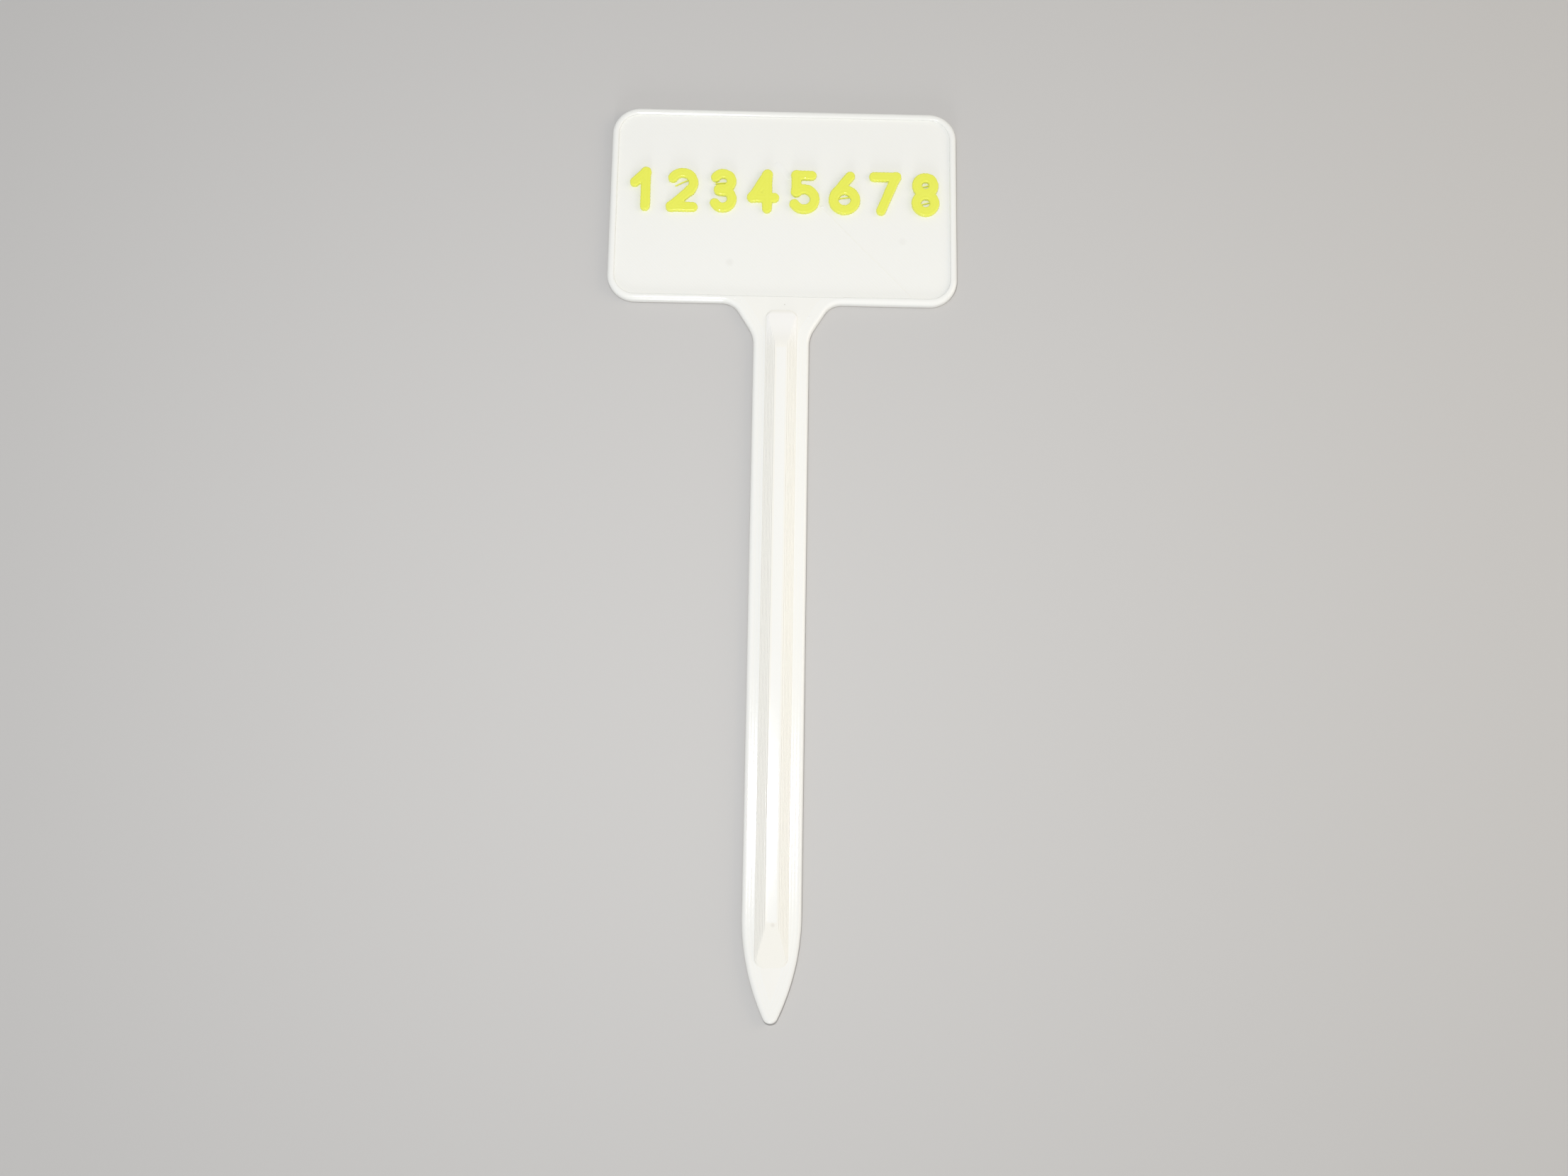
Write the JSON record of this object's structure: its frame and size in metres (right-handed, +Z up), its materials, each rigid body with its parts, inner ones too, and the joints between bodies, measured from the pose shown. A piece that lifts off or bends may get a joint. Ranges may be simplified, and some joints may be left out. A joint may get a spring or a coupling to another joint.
{
  "type": "plant label stake",
  "caption": "Flat printed garden label: a rimmed plaque with a row of raised numerals, on a ribbed blade with flared shoulders and a point that is pushed into soil.",
  "frame": {"origin": "on the flat back, at the middle of the label's length and width", "axes": "+Z up out of the face, +Y along the stake from its point to the plaque, +X across the plaque to the reader's right"},
  "size_m": [0.05, 0.13, 0.0026],
  "materials": {
    "white_print": "semi-gloss printed plastic with fine slanting bead lines",
    "yellow_print": "semi-gloss printed plastic, lime yellow"
  },
  "bodies": {
    "root": {"face_panel": "white_print", "border_rim": "white_print", "stake_blade": "white_print", "centre_rib": "white_print", "numeral_1": "yellow_print", "numeral_2": "yellow_print", "numeral_3": "yellow_print", "numeral_4": "yellow_print", "numeral_5": "yellow_print", "numeral_6": "yellow_print", "numeral_7": "yellow_print", "numeral_8": "yellow_print"}
  },
  "joints": []
}
